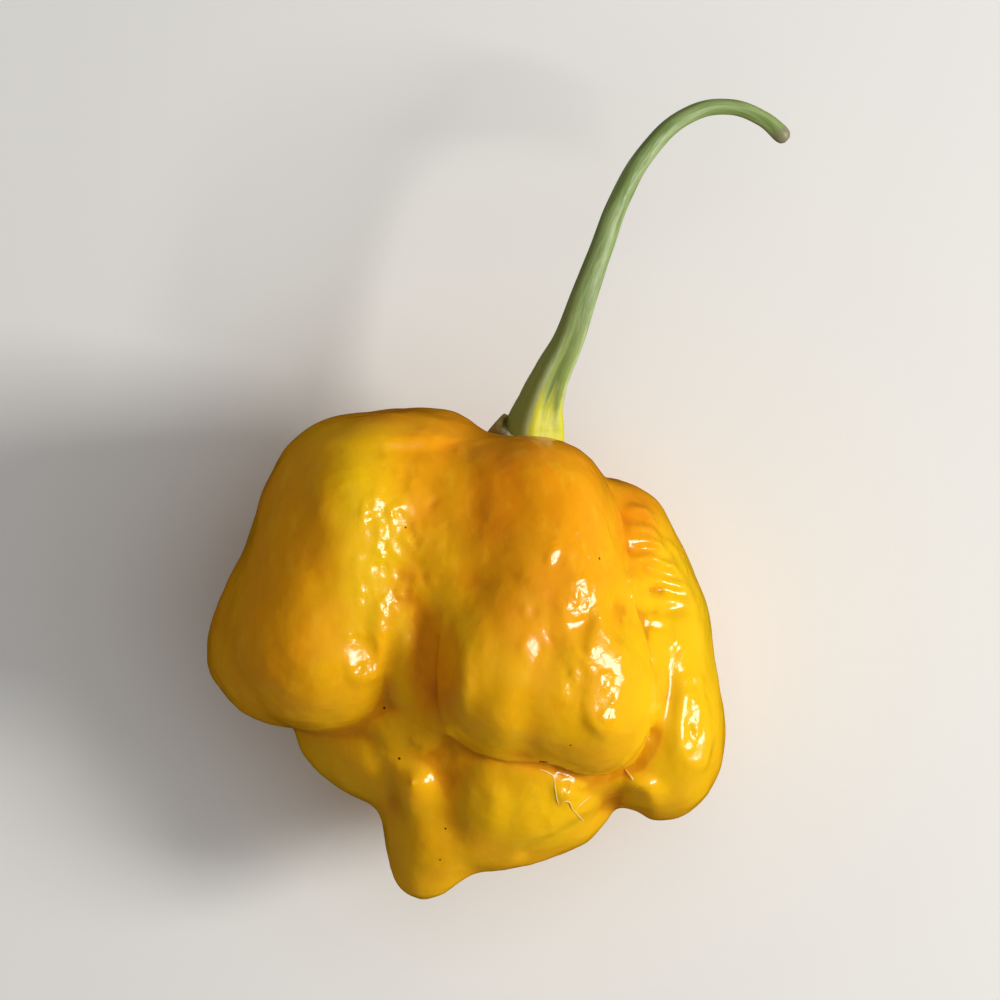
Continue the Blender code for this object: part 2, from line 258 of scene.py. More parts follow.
podLook = {
    "voxel": 0.56,
    "softenPasses": 5,
    "fillPasses": 220,
    "patchCore": 0.35,              # share of a patch's reach where it is at full strength
    "patchFoot": 6.0,               # a patch fades in from this height up, over as much again
    "fills": (                      # centre, reach, share of the hollow that is filled
        ((-6.8, -15.0), (4.4, 8.0), 0.90),      # web between the left and the front lobe
        ((-8.6, -20.6), (5.0, 3.6), 0.85),      # under the left lobe's corner
        ((-1.6, -23.4), (5.4, 2.2), 0.45),      # under the front lobe
        ((12.6, -7.0), (3.6, 8.5), 0.90),       # between the front and the right lobe
        ((14.2, -15.5), (2.8, 8.5), 0.95),
        ((11.0, -25.6), (4.2, 3.4), 0.90),      # where the right lobe leaves the lower body
    ),
    "lifts": (                      # centre, reach, height
        ((-7.2, -25.2), (1.7, 1.6), 0.30),      # the nub
        ((-4.0, 0.2), (3.6, 6.5), -0.60),       # the saddle
        ((-3.0, -6.6), (6.0, 1.6), -0.30),      # shallow dip across it
        ((-14.0, 0.0), (4.0, 9.0), 0.45),       # the left lobe's crest
        ((-7.8, 0.4), (3.0, 5.5), -0.30),
        ((-8.5, 6.6), (7.5, 2.6), 1.10),        # its top edge
        ((-3.6, -13.5), (3.6, 6.5), 0.45),      # the front lobe's left flank
        ((-4.6, -15.0), (3.0, 7.0), 0.60),
        ((-1.8, -27.5), (3.0, 5.0), 0.60),      # the lower body
        ((10.3, -11.0), (3.6, 7.0), 0.95),      # its right shoulder
        ((7.4, -10.8), (3.4, 6.0), 0.55),
        ((9.0, -18.0), (2.6, 4.5), 0.30),
        ((3.5, -18.5), (6.0, 4.5), 0.35),
        ((12.6, -5.0), (2.6, 6.0), 0.90),       # the right lobe beside it
        ((14.0, -14.5), (1.5, 7.0), 0.55),
        ((-9.6, -13.0), (2.6, 6.5), 0.80),      # the left lobe's right flank
        ((17.4, -20.5), (3.2, 6.0), 0.70),      # the right lobe's lower end
        ((17.0, -13.5), (3.0, 6.5), 0.60),      # and its middle
        ((13.5, 2.2), (5.5, 2.6), 0.50),        # the right lobe's top edge
        ((12.2, -26.6), (3.2, 2.6), 1.20),      # and its lower corner
    ),
    "pulls": (                      # centre, reach, sideways shift
        ((11.0, -28.0), (3.4, 3.2), (0.25, 0.40)),        # the notch beside the right lobe
    ),
    "facets": (                     # centre, reach, slope down to the right in degrees
        ((9.5, -13.2), (2.4, 5.2), 27.5),       # on the front lobe
        ((8.9, -18.0), (2.1, 3.6), 28.5),
        ((6.4, -9.8), (1.5, 1.0), 27.0),
        ((2.6, -9.7), (0.9, 1.0), 25.0),
        ((2.7, -12.9), (1.5, 1.5), 25.0),
        ((4.8, -5.2), (1.1, 1.3), 26.0),
        ((6.9, -7.4), (1.1, 1.0), 27.0),
        ((-12.0, -14.3), (2.0, 3.0), 27.0),     # on the left lobe
        ((-10.5, -7.0), (1.2, 2.6), 27.0),
        ((-11.2, -0.9), (1.2, 2.0), 25.0),
        ((-6.2, -0.2), (0.9, 0.9), 24.0),
        ((12.7, -1.3), (2.2, 1.3), 28.0),       # on the right lobe
        ((13.5, -3.6), (2.9, 2.0), 28.0),
        ((14.6, -6.6), (3.3, 2.6), 28.0),
        ((15.9, -8.8), (2.8, 2.0), 28.0),
        ((14.2, -11.1), (1.1, 0.9), 28.0),
        ((17.6, -16.3), (1.0, 1.0), 28.0),
        ((17.4, -19.3), (2.1, 3.0), 28.5),
        ((17.9, -22.3), (2.0, 2.6), 28.5),
        ((5.9, -25.1), (1.8, 2.6), 28.5),       # on the lower body
    ),
    "facetShare": 0.82,
    "facetUpward": (0.1, 0.5),      # how far up a place has to face
    "facetNear": (0.7, 1.7),        # how near the facet it has to be
    "creaseUpward": (0.0, 0.4),
    "creases": (                    # line, half width, depth
        (((2.6, -32.0), (5.6, -30.3), (8.4, -28.8), (10.8, -26.9)), 1.0, 0.35),
        (((-11.6, -21.5), (-10.4, -25.0), (-9.4, -28.5)), 0.9, 0.25),
    ),
    "tuckUpward": (0.0, 0.3),
    "tucks": (                      # edge that laps over the skin on its left, width, depth
        (((9.9, 0.9), (10.8, -1.3), (11.4, -4.0), (11.6, -6.6), (12.1, -8.9), (12.8, -11.1),
          (13.3, -13.7), (13.6, -17.5), (13.4, -21.0)), 0.55, 0.30),
        (((13.4, -21.0), (12.8, -22.4), (12.1, -23.6), (10.7, -24.3), (9.6, -24.7), (8.5, -24.6),
          (6.0, -24.0), (3.5, -23.4), (0.5, -23.2), (-2.4, -22.4)), 0.7, 0.38),
        (((-2.4, -22.4), (-4.8, -20.8), (-5.6, -18.2), (-5.6, -14.5), (-5.4, -12.5)), 1.3, 0.30),
    ),
    "swells": (4.6, 0.20, 3.1),     # cell, height and seed of the broad swells
    "knobs": (2.3, 0.10, 17.4),
    "crinkles": (1.00, 0.24, 40.2),         # the shrivelled skin, and the finer folds on it
    "fineCrinkles": (0.52, 0.075, 71.7),
    "gaps": (1.9, 61.3),            # cell and seed of the calmer places between the crinkles
    "gapRange": (-0.15, 0.35),
    "gapShare": (0.25, 1.20),       # of the crinkles, in such a place and beside it
    "calmSkin": 0.15,               # share of the crinkles that the smooth skin keeps
    "crinkled": (                   # centre, reach, share
        ((-9.6, -4.6), (5.0, 12.5), 0.80),
        ((-5.6, -4.2), (4.0, 9.0), 0.50),
        ((-6.8, 4.2), (7.5, 2.6), 0.50),
        ((8.4, -11.0), (6.0, 13.0), 0.70),
        ((9.4, -13.2), (2.2, 4.8), 0.65),
        ((9.0, -18.0), (2.2, 3.6), 0.80),
        ((-12.0, -13.6), (2.2, 3.6), 0.90),
        ((3.6, -5.5), (4.4, 6.5), 0.45),
        ((15.6, -7.0), (4.5, 9.0), 0.35),
        ((16.4, -19.8), (3.6, 5.5), 0.80),
        ((15.3, -14.5), (2.2, 4.2), 0.65),
        ((6.0, -25.6), (2.4, 2.6), 1.10),
        ((4.6, -27.5), (6.0, 4.0), 0.45),
        ((-7.6, -21.5), (6.0, 4.0), 0.45),
    ),
    "ripples": (                    # centre, reach, direction across them, spacing, height
        ((14.2, -5.6), (4.2, 6.8), 80.0, 1.75, 0.21),
        ((-8.4, -3.0), (3.0, 7.0), 35.0, 1.5, 0.035),
    ),
    "rippleDrift": (2.4, 12.9, 0.5),        # cell, seed and shift
    "rippleUpward": (0.3, 0.65),
    "foldPasses": 160,
    "foldDepth": 0.45,              # of a fold that counts as a full one
}


def patchMask(points, centre, reach, lowest=podLook["patchFoot"]):
    # 1 in the middle of an oval patch, fading to 0 at its rim and on the side that is lain on
    offset = (points[:, :2] / mm - np.array(centre)) / np.array(reach)
    inside = 1.0 - easeBetween(np.linalg.norm(offset, axis=1), podLook["patchCore"], 1.0)
    return inside * easeBetween(points[:, 2] / mm, lowest, lowest + podLook["patchFoot"])


def fillHollows(pod):
    # the webs between the lobes are lifted towards the evened-out surface
    points = readPoints(pod)
    normals = readNormals(pod)
    soft = smoothedPoints(pod, points, podLook["fillPasses"])
    depth = ((soft - points) * normals).sum(axis=1)
    share = np.zeros(len(points))
    for centre, reach, amount in podLook["fills"]:
        share = np.maximum(share, patchMask(points, centre, reach) * amount)
    points += (soft - points) * (share * (depth > 0))[:, None]
    for centre, reach, height in podLook["lifts"]:
        points[:, 2] += patchMask(points, centre, reach) * height * mm
    for centre, reach, shift in podLook["pulls"]:
        points[:, :2] += patchMask(points, centre, reach, 0.0)[:, None] * np.array(shift) * mm
    writePoints(pod, points)


def flattenFacets(pod):
    # small flat places that slope to the right and catch the light
    points = readPoints(pod)
    upward = easeBetween(readNormals(pod)[:, 2], *podLook["facetUpward"])
    for centre, reach, slope in podLook["facets"]:
        middle = placeAbove(pod, *centre)
        plane = middle.z - (points[:, 0] - middle.x) * math.tan(math.radians(slope))
        rise = plane - points[:, 2]
        near = 1.0 - easeBetween(np.abs(rise) / mm, *podLook["facetNear"])
        mask = near * upward * patchMask(points, centre, reach)
        points[:, 2] += rise * mask * podLook["facetShare"]
    writePoints(pod, points)


def crinklePod(pod):
    # swells and knobs all over, crinkles where the skin has shrunk, ripples and creases
    points = readPoints(pod)
    normals = readNormals(pod)
    rise = np.zeros(len(points))
    for key in ("swells", "knobs"):
        cell, height, seed = podLook[key]
        rise += lumps(points, cell, seed) * height
    share = np.full(len(points), podLook["calmSkin"])
    for centre, reach, amount in podLook["crinkled"]:
        share = np.maximum(share, patchMask(points, centre, reach) * amount)
    least, most = podLook["gapShare"]
    beside = easeBetween(lumps(points, *podLook["gaps"]), *podLook["gapRange"])
    share *= least + (most - least) * beside
    for key in ("crinkles", "fineCrinkles"):
        cell, height, seed = podLook[key]
        rise += lumps(points, cell, seed) * height * share
    writeShade(pod, "crinkle", share)
    driftCell, driftSeed, driftShift = podLook["rippleDrift"]
    for centre, reach, turn, spacing, height in podLook["ripples"]:
        across = np.array((math.cos(math.radians(turn)), math.sin(math.radians(turn))))
        along = points[:, :2] @ across / mm + driftShift * lumps(points, driftCell, driftSeed)
        wave = np.sin(along * math.tau / spacing)
        wave *= easeBetween(normals[:, 2], *podLook["rippleUpward"])
        rise += patchMask(points, centre, reach) * wave * height
    upward = easeBetween(normals[:, 2], *podLook["creaseUpward"])
    for line, width, depth in podLook["creases"]:
        away, _ = distanceToLine(points, line)
        rise -= np.exp(-(away / (width * mm)) ** 2) * upward * depth
    upward = easeBetween(normals[:, 2], *podLook["tuckUpward"])
    for line, width, depth in podLook["tucks"]:
        away, left = distanceToLine(points, line)
        rise -= np.exp(-(away / (width * mm)) ** 2) * left * upward * depth
    points += normals * rise[:, None] * mm
    points[:, 2] = np.maximum(points[:, 2], 0.0)
    writePoints(pod, points)


def makePodSkin():
    print("pod skin")
    pod = copyOfNode("pod", "podSkin")
    applyModifier(pod, "REMESH", mode="VOXEL", voxel_size=podLook["voxel"] * mm)
    applyModifier(pod, "SMOOTH", factor=0.5, iterations=podLook["softenPasses"])
    fillHollows(pod)
    applyModifier(pod, "SUBSURF", levels=1, render_levels=1)
    flattenFacets(pod)
    crinklePod(pod)
    shadePod(pod)
    pod.data.shade_smooth()
    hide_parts("pod")
    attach(pod, "root")
    return pod


def stalkFoot(inset):
    # a place in the stalk's foot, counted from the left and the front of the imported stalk
    low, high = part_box("stalk")
    return np.array((low.x + inset[0] * mm, low.y + inset[1] * mm, (low.z + high.z) / 2))


def shadePod(pod):
    # how deep in a fold the skin is, and how ripe, with painted shade and painted light mixed into
    # the ripeness
    points = readPoints(pod)
    normals = readNormals(pod)
    soft = smoothedPoints(pod, points, podLook["foldPasses"])
    depth = ((soft - points) * normals).sum(axis=1) / (podLook["foldDepth"] * mm)
    writeShade(pod, "fold", easeBetween(depth, 0.0, 1.0))
    away = np.linalg.norm(points - stalkFoot(podPaint["crownPlace"]), axis=1) / mm
    crown = 1.0 - easeBetween(away, *podPaint["crownReach"])
    ripeAndShading = podPaint["evenRipe"] + podPaint["crownRipe"] * crown
    for centre, reach, amount in podPaint["ripeAndShadingPatches"]:
        ripeAndShading += patchMask(points, centre, reach) * amount
    writeShade(pod, "ripeAndShading", ripeAndShading)


podPaint = {
    "yellow": (0.83, 0.50, 0.006),
    "amber": (0.82, 0.35, 0.005),
    "orange": (0.76, 0.22, 0.004),
    "foldShadeBrown": (0.58, 0.19, 0.003),
    "paleFleck": (0.90, 0.58, 0.03),
    "speck": (0.055, 0.014, 0.004),
    "grainScale": 1250.0,
    "mottleScale": 210.0,
    "mottleRange": (0.3, 0.7),
    "mottleRipe": 0.09,
    "mottleGloss": (0.14, 0.22),
    "foldShadeOrange": 0.25,
    "foldShadeRange": (0.7, 1.0),
    "foldShadeShare": 0.5,               # of the painted fold shade's brown
    "fleckScale": 900.0,
    "fleckStretch": (1.0, 0.3, 1.0),
    "fleckRange": (0.52, 0.8),
    "fleckShare": 0.3,
    "reliefDepth": 0.11,            # of the fine grain, in full where the skin is crinkled
    "reliefRange": (0.1, 0.9),
    "calmRelief": 0.3,
    "glowShare": 0.2,
    "glowReach": 1.6,
    "glowTint": (1.0, 0.42, 0.1),
    "bend": 1.42,
    "speckFade": (0.6, 1.3),        # a speck's size where it starts to fade, and where it ends
    "evenRipe": 0.30,
    "crownRipe": 0.40,              # more around the stalk's foot
    "crownPlace": (3.0, 1.0),
    "crownReach": (4.0, 20.0),
    "ripeAndShadingPatches": (                # centre, reach, more or less ripe; some patches are painted shade, some painted light
        ((2.4, -4.0), (8.0, 13.0), 0.30),       # the front lobe's upper half and the saddle
        ((-11.5, -2.0), (4.5, 12.0), -0.26),    # painted light: the left lobe's lit crest made yellower
        ((-5.8, -15.0), (3.4, 7.0), 0.35),      # painted shade: more orange in the web between the left and the front lobe
        # partly the right lobe's own yellow tone, partly painted light on its lit side
        ((16.5, -14.0), (8.0, 17.0), -0.30),
        ((-21.0, -6.0), (9.0, 19.0), 0.24),     # painted shade: more orange on the side turned away from the light
        ((-0.5, 0.5), (4.0, 6.0), 0.20),
        ((4.0, -28.0), (9.0, 5.0), -0.18),
        ((12.2, -3.0), (2.6, 6.0), 0.30),       # the right lobe's top, beside the front lobe
        ((-7.0, 2.5), (6.0, 5.0), 0.12),
        ((-13.0, 8.0), (8.0, 2.0), 0.25),
    ),
    "specks": (                     # place seen from above, size
        ((3.62, -23.20), 0.15),
        ((3.86, -23.22), 0.18),
        ((4.12, -23.22), 0.14),
        ((6.2, -21.55), 0.1),
        ((12.95, -21.1), 0.12),
        ((8.75, -5.15), 0.13),
        ((-8.3, -2.4), 0.1),
        ((-10.3, -18.5), 0.13),
        ((-9.0, -23.1), 0.13),
        ((-4.9, -29.5), 0.1),
        ((-5.4, -32.4), 0.1),
    ),
}


def paintSpecks(tree, coords, pod):
    total = 0.0
    inner, outer = podPaint["speckFade"]
    for (x, y), size in podPaint["specks"]:
        place = placeAbove(pod, x, y)
        far = addNode(tree, "ShaderNodeVectorMath", {0: coords, 1: place}, operation="DISTANCE")
        spot = mapped(tree, far.outputs["Value"], size * inner * mm, size * outer * mm, 1.0, 0.0)
        total = sums(tree, "MAXIMUM", spot, total)
    return total


def paintPod(pod):
    print("pod material")
    material, tree, shader = newMaterial("podSkinFinish")
    coords = addNode(tree, "ShaderNodeTexCoord").outputs["Object"]
    height, mottle = grainIn(tree, coords, podPaint["grainScale"], podPaint["mottleScale"], 0.5)
    fold = shadeOf(tree, "fold")
    most = podPaint["mottleRipe"]
    ripeAndShading = mapped(tree, mottle, *podPaint["mottleRange"], -most, most)
    ripeAndShading = sums(tree, "ADD", shadeOf(tree, "ripeAndShading"), ripeAndShading)
    # painted shade: the folds are made more orange, and the deepest ones a darker brown
    foldShadeOrange = sums(tree, "MULTIPLY", fold, podPaint["foldShadeOrange"])
    ripeAndShading = sums(tree, "ADD", ripeAndShading, foldShadeOrange, clamp=True)
    # yellow to amber to orange with the ripeness, which carries painted shade and painted light too
    colour = blended(tree, mapped(tree, ripeAndShading, 0.0, 0.5), podPaint["yellow"], podPaint["amber"])
    colour = blended(tree, mapped(tree, ripeAndShading, 0.5, 1.0), colour, podPaint["orange"])
    deep = mapped(tree, fold, *podPaint["foldShadeRange"], 0.0, podPaint["foldShadeShare"])
    colour = blended(tree, deep, colour, podPaint["foldShadeBrown"])
    stretched = addNode(tree, "ShaderNodeMapping", {
        "Vector": coords, "Scale": podPaint["fleckStretch"],
    }).outputs["Vector"]
    flecks = addNode(tree, "ShaderNodeTexNoise", {
        "Vector": stretched, "Scale": podPaint["fleckScale"], "Detail": 3.0, "Roughness": 0.6,
    }).outputs["Fac"]
    flecks = mapped(tree, flecks, *podPaint["fleckRange"], 0.0, podPaint["fleckShare"])
    colour = blended(tree, flecks, colour, podPaint["paleFleck"])
    colour = blended(tree, paintSpecks(tree, coords, pod), colour, podPaint["speck"])
    tree.links.new(colour, shader.inputs["Base Color"])
    gloss = mapped(tree, mottle, *podPaint["mottleRange"], *podPaint["mottleGloss"])
    tree.links.new(gloss, shader.inputs["Roughness"])
    shader.inputs["Subsurface Weight"].default_value = podPaint["glowShare"]
    shader.inputs["Subsurface Radius"].default_value = podPaint["glowTint"]
    shader.inputs["Subsurface Scale"].default_value = podPaint["glowReach"] * mm
    shader.inputs["IOR"].default_value = podPaint["bend"]
    crinkle = shadeOf(tree, "crinkle")
    crinkle = mapped(tree, crinkle, *podPaint["reliefRange"], podPaint["calmRelief"], 1.0)
    height = sums(tree, "MULTIPLY", height, crinkle)
    relief = addNode(tree, "ShaderNodeBump", {
        "Strength": 1.0, "Distance": podPaint["reliefDepth"] * mm, "Height": height,
    })
    tree.links.new(relief.outputs["Normal"], shader.inputs["Normal"])
    pod.data.materials.append(material)


# The stalk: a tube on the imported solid's centre line, ribbed, with a blunt cut end

stalkLook = {
    "line": (                       # x, y, z and the share of the half-way thickness
        (3.15, 6.4, 18.9, 2.6), (3.35, 7.5, 19.3, 2.4), (3.75, 9.1, 19.9, 1.96),
        (4.65, 11.5, 20.6, 1.6), (6.1, 14.4, 21.2, 1.36), (7.65, 18.7, 21.7, 1.2),
        (9.2, 23.0, 21.8, 1.04), (10.85, 27.4, 21.6, 0.94), (13.4, 31.8, 21.0, 0.86),
        (17.0, 35.1, 20.2, 0.78), (20.6, 36.0, 19.4, 0.72), (23.9, 35.0, 18.8, 0.74),
        (26.2, 33.1, 18.4, 0.86),
    ),
    "thickness": 2.0,
    "rings": 16,                    # between two points of the line
    "roundness": 22,
    "ribs": 4,
    "ribTurn": 113.0,               # degrees from the right-hand side up to the first rib
    "footRib": 0.085,               # rib height as a share of the radius
    "topRib": 0.012,
    "fineRibs": 11,
    "ribEnd": 0.55,                 # share of the length where the foot's ribs have run out
    "fineRibShare": 0.3,
    "fineRibFade": 0.4,
    "drift": (2.5, 33.1, 0.35),     # cell, seed and turn of the ribs' wandering
    "noiseRound": 1.6,              # the tube rolled out for the noise: its radius and length
    "noiseLength": 10.0,
    "wrinkle": 0.040,
    "wrinkles": ((1.0, 6.5, 1.0), (0.45, 5.95, 0.35)),      # cell, seed and share
    "bluntRings": 5,
    "bluntShare": 0.45,             # of the radius, at the very end
    "sunnyRange": (-0.55, 0.15),
}


def tubeFrame(stalk):
    # the vertices in rings, each one's turn about the line, and how far along the line it is
    rings = stalkLook["rings"] * (len(stalkLook["line"]) - 1) + 1
    points = readPoints(stalk)
    sides = len(points) // rings
    tube = points.reshape(rings, sides, 3)
    middles = tube.mean(axis=1)
    steps = np.linalg.norm(np.diff(middles, axis=0), axis=1)
    along = np.concatenate([[0.0], np.cumsum(steps)])
    ahead = np.gradient(middles, axis=0)
    ahead /= np.linalg.norm(ahead, axis=1)[:, None]
    right = np.cross(ahead, (0.0, 0.0, 1.0))
    right /= np.linalg.norm(right, axis=1)[:, None]
    above = np.cross(right, ahead)
    spokes = tube - middles[:, None, :]
    up = (spokes * above[:, None, :]).sum(axis=2)
    aside = (spokes * right[:, None, :]).sum(axis=2)
    turn = np.arctan2(up, aside)
    return middles, spokes, turn, along / along[-1]


def makeStalk():
    print("stalk")
    deselectAll()
    bpy.ops.curve.primitive_bezier_curve_add(radius=mm, location=(0, 0, 0))
    stalk = bpy.context.object
    stalk.name = "stalkSkin"
    curve = stalk.data
    curve.resolution_u = stalkLook["rings"]
    curve.bevel_depth = stalkLook["thickness"] / 2 * mm
    curve.bevel_resolution = stalkLook["roundness"]
    line = curve.splines[0]
    line.bezier_points.add(len(stalkLook["line"]) - 2)
    for knot, (x, y, z, share) in zip(line.bezier_points, stalkLook["line"]):
        knot.co = Vector((x, y, z)) * mm
        knot.handle_left_type = knot.handle_right_type = "AUTO"
        knot.radius = share
    pick(stalk)
    bpy.ops.object.convert(target="MESH")
    middles, spokes, turn, along = tubeFrame(stalk)
    around = stalkLook["noiseRound"]
    length = np.broadcast_to(along[:, None] * stalkLook["noiseLength"], turn.shape)
    place = np.stack([np.cos(turn) * around, np.sin(turn) * around, length], axis=-1).reshape(-1, 3)
    cell, seed, most = stalkLook["drift"]
    drift = most * lumps(place * mm, cell, seed).reshape(turn.shape)
    rib = np.cos(stalkLook["ribs"] * (turn + drift - math.radians(stalkLook["ribTurn"])))
    fineRib = np.cos(stalkLook["fineRibs"] * (turn + drift))
    foot = (1.0 - easeBetween(along, 0.0, stalkLook["ribEnd"]))[:, None] * stalkLook["footRib"]
    fine = stalkLook["topRib"] + foot * stalkLook["fineRibFade"]
    height = rib * (stalkLook["topRib"] + foot) + fineRib * fine * stalkLook["fineRibShare"]
    for cell, seed, share in stalkLook["wrinkles"]:
        wrinkles = lumps(place * mm, cell, seed).reshape(turn.shape)
        height = height + wrinkles * share * stalkLook["wrinkle"]
    girth = (1.0 + height) * bluntEnd(len(along))[:, None]
    tube = middles[:, None, :] + spokes * girth[..., None]
    writePoints(stalk, tube.reshape(-1, 3))
    closeStalkEnds(stalk)
    writeShade(stalk, "along", np.repeat(along, turn.shape[1]))
    writeShade(stalk, "rib", rib.reshape(-1) * 0.5 + 0.5)
    writeShade(stalk, "fineRib", fineRib.reshape(-1) * 0.5 + 0.5)
    writeShade(stalk, "sunny", easeBetween(np.cos(turn), *stalkLook["sunnyRange"]).reshape(-1))
    fibres = stalk.data.attributes.new("fibrePlace", "FLOAT_VECTOR", "POINT")
    fibres.data.foreach_set("vector", place.reshape(-1))
    settleStalk(stalk)
    stalk.data.shade_smooth()
    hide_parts("stalk")
    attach(stalk, "root")
    return stalk


def bluntEnd(rings):
    # the share of its radius that each ring keeps, less at the cut end, so its rim is round
    shares = np.ones(rings)
    least = stalkLook["bluntShare"]
    for number in range(stalkLook["bluntRings"]):
        inward = 1.0 - number / stalkLook["bluntRings"]
        shares[rings - 1 - number] = least + (1.0 - least) * math.sqrt(1.0 - inward ** 2)
    return shares


def closeStalkEnds(stalk):
    # a flat face closes each open end
    pick(stalk)
    bpy.ops.object.mode_set(mode="EDIT")
    bpy.ops.mesh.select_mode(type="VERT")
    bpy.ops.mesh.select_all(action="DESELECT")
    bpy.ops.mesh.select_non_manifold()
    bpy.ops.mesh.edge_face_add()
    bpy.ops.mesh.select_mode(type="FACE")
    bpy.ops.mesh.select_all(action="SELECT")
    bpy.ops.mesh.normals_make_consistent(inside=False)
    bpy.ops.object.mode_set(mode="OBJECT")


def settleStalk(stalk):
    # the line is written in the part's drawing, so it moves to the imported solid's place
    points = readPoints(stalk)
    low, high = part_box("stalk")
    shift = np.array(high) - points.max(axis=0)
    shift[2] = (low.z + high.z - points[:, 2].min() - points[:, 2].max()) / 2
    writePoints(stalk, points + shift)


stalkPaint = {
    "green": (0.17, 0.26, 0.06),
    "paleGreen": (0.31, 0.41, 0.16),
    "footGreen": (0.27, 0.34, 0.045),
    "crestHighlight": (0.54, 0.62, 0.34),
    "grooveShade": (0.10, 0.145, 0.016),
    "olive": (0.32, 0.37, 0.07),
    "foot": (0.64, 0.62, 0.022),
    "dry": (0.26, 0.20, 0.14),
    "fibreScale": 3.6,              # on the rolled-out tube
    "mottleScale": 1.1,
    "mottleRange": (0.36, 0.64),
    "fibreRange": (0.3, 0.7),
    "footLength": (0.32, 0.12),     # shares of the length, where the foot's green comes in
    "ribLength": (0.45, 0.1),       # where the ribs' colours come in
    "shadyLength": (0.6, 0.1),
    "yellowLength": (0.11, 0.0),
    "dryLength": (0.955, 0.99),
    "footShare": 0.85,
    "crestRange": (0.70, 1.0),      # of the rib height
    "crestFibre": 0.25,
    "crestShare": (0.12, 0.95),     # along the stalk and at the foot
    "hollowRange": (0.45, 0.05),
    "fineHollowRange": (0.5, 0.1),
    "fineHollowShare": 0.3,
    "hollowShare": (0.08, 0.85),
    "hollowSunny": (0.2, 0.9),
    "hollowShady": 0.1,
    "shadySunny": (0.5, 0.0),
    "shadyShare": (0.2, 0.8),
    "ragged": 0.03,                 # how far the yellow's and the dry end's edges wander
    "yellowSunny": (0.1, 0.8),
    "gloss": (0.36, 0.52),
    "reliefDepth": 0.05,
    "reliefStrength": 0.8,
    "glowShare": 0.1,
    "glowReach": 0.5,
    "glowTint": (0.6, 1.0, 0.2),
}


def paintStalk(stalk):
    print("stalk material")
    material, tree, shader = newMaterial("stalkFinish")
    along = shadeOf(tree, "along")
    rib = shadeOf(tree, "rib")
    fineRib = shadeOf(tree, "fineRib")
    sunny = shadeOf(tree, "sunny")
    fibrePlace = addNode(tree, "ShaderNodeAttribute", attribute_name="fibrePlace").outputs["Vector"]
    fibre, mottle = grainIn(
        tree, fibrePlace, stalkPaint["fibreScale"], stalkPaint["mottleScale"], 0.6)
    colour = blended(tree, mapped(tree, mottle, *stalkPaint["mottleRange"]),
                     stalkPaint["green"], stalkPaint["paleGreen"])
    footGreen = mapped(tree, along, *stalkPaint["footLength"], 0.0, stalkPaint["footShare"])
    colour = blended(tree, footGreen, colour, stalkPaint["footGreen"])
    low = mapped(tree, along, *stalkPaint["ribLength"])
    # painted highlight: pale crests along the ribs, strongest at the foot
    most = stalkPaint["crestFibre"]
    crest = mapped(tree, rib, *stalkPaint["crestRange"])
    crest = sums(tree, "ADD", crest, mapped(tree, fibre, *stalkPaint["fibreRange"], -most, most))
    crest = sums(tree, "MULTIPLY", mapped(tree, crest, 0.1, 1.0),
                 mapped(tree, low, 0.0, 1.0, *stalkPaint["crestShare"]))
    colour = blended(tree, crest, colour, stalkPaint["crestHighlight"])
    # painted shade: dark grooves, on the sunny side
    fineHollow = mapped(
        tree, fineRib, *stalkPaint["fineHollowRange"], 0.0, stalkPaint["fineHollowShare"])
    hollow = sums(tree, "ADD", mapped(tree, rib, *stalkPaint["hollowRange"]), fineHollow)
    hollow = sums(tree, "MULTIPLY", hollow,
                  mapped(tree, low, 0.0, 1.0, *stalkPaint["hollowShare"]), clamp=True)
    hollow = sums(tree, "MULTIPLY", hollow,
                  mapped(tree, sunny, *stalkPaint["hollowSunny"], stalkPaint["hollowShady"], 1.0))
    colour = blended(tree, hollow, colour, stalkPaint["grooveShade"])
    # painted light: the shady side painted a lighter olive than the green
    shady = sums(tree, "MULTIPLY", mapped(tree, sunny, *stalkPaint["shadySunny"]),
                 mapped(tree, along, *stalkPaint["shadyLength"], *stalkPaint["shadyShare"]))
    colour = blended(tree, shady, colour, stalkPaint["olive"])
    # the yellow foot and the dry cut end
    most = stalkPaint["ragged"]
    ragged = sums(tree, "ADD", along, mapped(tree, mottle, *stalkPaint["fibreRange"], most, -most))
    ragged = sums(tree, "SUBTRACT", ragged, mapped(tree, fineRib, 0.0, 1.0, 0.0, most))
    yellow = sums(tree, "MULTIPLY", mapped(tree, ragged, *stalkPaint["yellowLength"], smooth=True),
                  mapped(tree, sunny, *stalkPaint["yellowSunny"], smooth=True))
    colour = blended(tree, yellow, colour, stalkPaint["foot"])
    dry = mapped(tree, ragged, *stalkPaint["dryLength"], smooth=True)
    colour = blended(tree, dry, colour, stalkPaint["dry"])
    tree.links.new(colour, shader.inputs["Base Color"])
    gloss = mapped(tree, fibre, *stalkPaint["fibreRange"], *stalkPaint["gloss"])
    tree.links.new(gloss, shader.inputs["Roughness"])
    shader.inputs["Subsurface Weight"].default_value = stalkPaint["glowShare"]
    shader.inputs["Subsurface Radius"].default_value = stalkPaint["glowTint"]
    shader.inputs["Subsurface Scale"].default_value = stalkPaint["glowReach"] * mm
    relief = addNode(tree, "ShaderNodeBump", {
        "Strength": stalkPaint["reliefStrength"], "Distance": stalkPaint["reliefDepth"] * mm,
        "Height": fibre,
    })
    tree.links.new(relief.outputs["Normal"], shader.inputs["Normal"])
    stalk.data.materials.append(material)


# The calyx, the withered collar that the stalk's foot stands in

